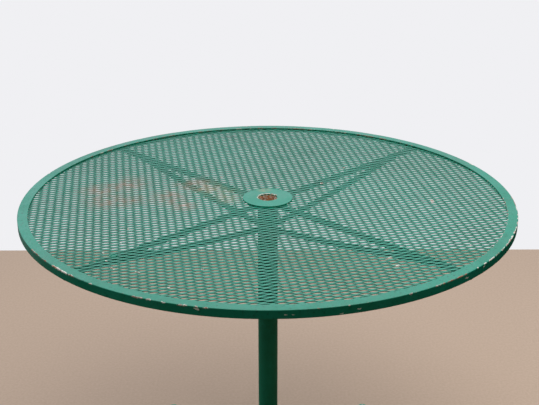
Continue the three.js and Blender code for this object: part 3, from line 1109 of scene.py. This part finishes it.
def add_wing_screw(level, shank):
    """A screw with a round head, and two wings pressed through it."""
    low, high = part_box("clamp_screw")
    points = node_points("clamp_screw") - (0, 0, level)
    away = np.hypot(points[:, 0], points[:, 2])
    shoulder = points[away > 1.5 * shank][:, 1].min()
    head = away[points[:, 1] < shoulder + 0.1 * MM].max()
    profile = [(shank, shoulder - 0.2 * MM), (0.9 * head, shoulder), (head, shoulder + 0.8 * MM),
               (head, high.y - 2.6 * MM), (0.86 * head, high.y - 0.9 * MM), (0.5 * head, high.y)]
    rows = thread_rows(shank, shoulder - 0.5 * MM, low.y)[::-1] + round_rows(profile)
    points, faces = stacked(rows)
    half_span = (high.z - low.z) / 2
    turns = TURN * np.arange(WING_SIDES) / WING_SIDES
    width = 0.9 * head * (0.62 + 0.38 * np.clip(1.5 * np.abs(np.cos(turns)) - 0.2, 0, 1))
    outline = np.column_stack([width * np.sin(turns), half_span * np.cos(turns)])
    rows = []
    for back, inset in WING_LAYERS:
        flat = outline * (1 - inset / np.linalg.norm(outline, axis=1)[:, None])
        rows.append(np.column_stack([flat[:, 0], np.full(WING_SIDES, high.y - back),
                                     flat[:, 1] + level]))
    piece("wing_screw", joined((to_back(points, level), faces), stacked(rows)), ZINC,
          "clamp_screw", ["clamp_screw"], sharp=34)


def add_panel_welds():
    """Tacks that hold the panel up under the rim, and the plug weld over one arm."""
    reach = FLANGE_INNER + RIM_TACK_INSET
    half = RIM_TACK_HALF / reach
    tacks = []
    for k in range(RIM_TACKS):
        turn = TURN * (k + 0.3) / RIM_TACKS
        path = [(reach * math.cos(t), reach * math.sin(t), PANEL_LOW.z)
                for t in np.linspace(turn - half, turn + half, 5)]
        tacks.append(bead(path, 1.8 * MM))
    turn = corner_turn("front_left") + math.radians(0.6)
    centre = np.array((PLUG_REACH * TOP_RADIUS * math.cos(turn),
                       PLUG_REACH * TOP_RADIUS * math.sin(turn), PANEL_HIGH.z - 0.3 * MM))
    plug = bead(circle(PLUG_RADIUS, 0, 48) + centre, 1.7 * MM, centre, closed=True)
    piece("panel_tacks", joined(*tacks, plug), WELD_PAINT)


def add_corner(corner):
    turn = corner_turn(corner)

    def placed(solid):
        return spun(np.asarray(solid[0]), turn), solid[1]

    arm = straight_bar((ARM_LOW.z + ARM_HIGH.z) / 2, ARM_HIGH.x)
    foot = straight_bar((FOOT_LOW.z + FOOT_HIGH.z) / 2, GLIDE_REACH, GLIDE_REACH)
    arm_brace, arm_level = brace_bar("arm_brace", -1)
    foot_brace, foot_brace_level = brace_bar("foot_brace", 1)
    bars = {"arm": arm, "foot": foot, "arm_brace": arm_brace, "foot_brace": foot_brace}
    for part, rows in bars.items():
        piece(f"{part}_bar_{corner}", placed(stacked(rows)), FRAME_PAINT,
              stands_for=[f"{part}_{corner}"])

    def at_post(rows):
        return (POST_RADIUS, 0, rows[0, :, 2].mean())

    foot_level = (FOOT_LOW.z + FOOT_HIGH.z) / 2
    welds = [
        bead(below(arm[0]), 2.4 * MM, at_post(arm)),
        bead(below(arm[-1]), 2.2 * MM, (ARM_HIGH.x - MM, 0, (ARM_LOW.z + ARM_HIGH.z) / 2)),
        bead(foot[-1], 2.3 * MM, (GLIDE_REACH - BOSS_RADIUS, 0, foot_level), closed=True),
        lapping_bead(arm_brace, arm_level, 2.3 * MM),
        lapping_bead(foot_brace, foot_brace_level, 2.3 * MM),
    ]
    welds += [bead(rows[0], 2.5 * MM, at_post(rows), closed=True)
              for rows in (arm_brace, foot, foot_brace)]
    first, last = HUB_RADIUS + ARM_TACK_STEP / 2, FLANGE_INNER - ARM_TACK_STEP / 3
    for reach in np.arange(first, last, ARM_TACK_STEP):
        for y in (-0.55 * BAR_RADIUS, 0.55 * BAR_RADIUS):
            path = [(x, y, ARM_HIGH.z - 0.9 * MM)
                    for x in (reach - ARM_TACK_HALF, reach + ARM_TACK_HALF)]
            welds.append(bead(path, 1.5 * MM))
    piece(f"welds_{corner}", placed(joined(*welds)), WELD_PAINT)
    add_glide(corner, placed)


add_floor()
set_light()
set_camera()
FRAME_PAINT = paint("frame_paint", 0.3, specks=0.725, low=0.16)
WELD_PAINT = paint("weld_paint", 0.0, specks=0.66, low=0.12)
ZINC = zinc("zinc")
PLASTIC = plastic("black_plastic")
add_rim(rim_paint())
add_panel(panel_paint())
add_hub(hub_paint())
add_panel_welds()
add_post(bare_rust("tube_rust"))
add_stop()
add_clamp()
for corner in CORNERS:
    add_corner(corner)
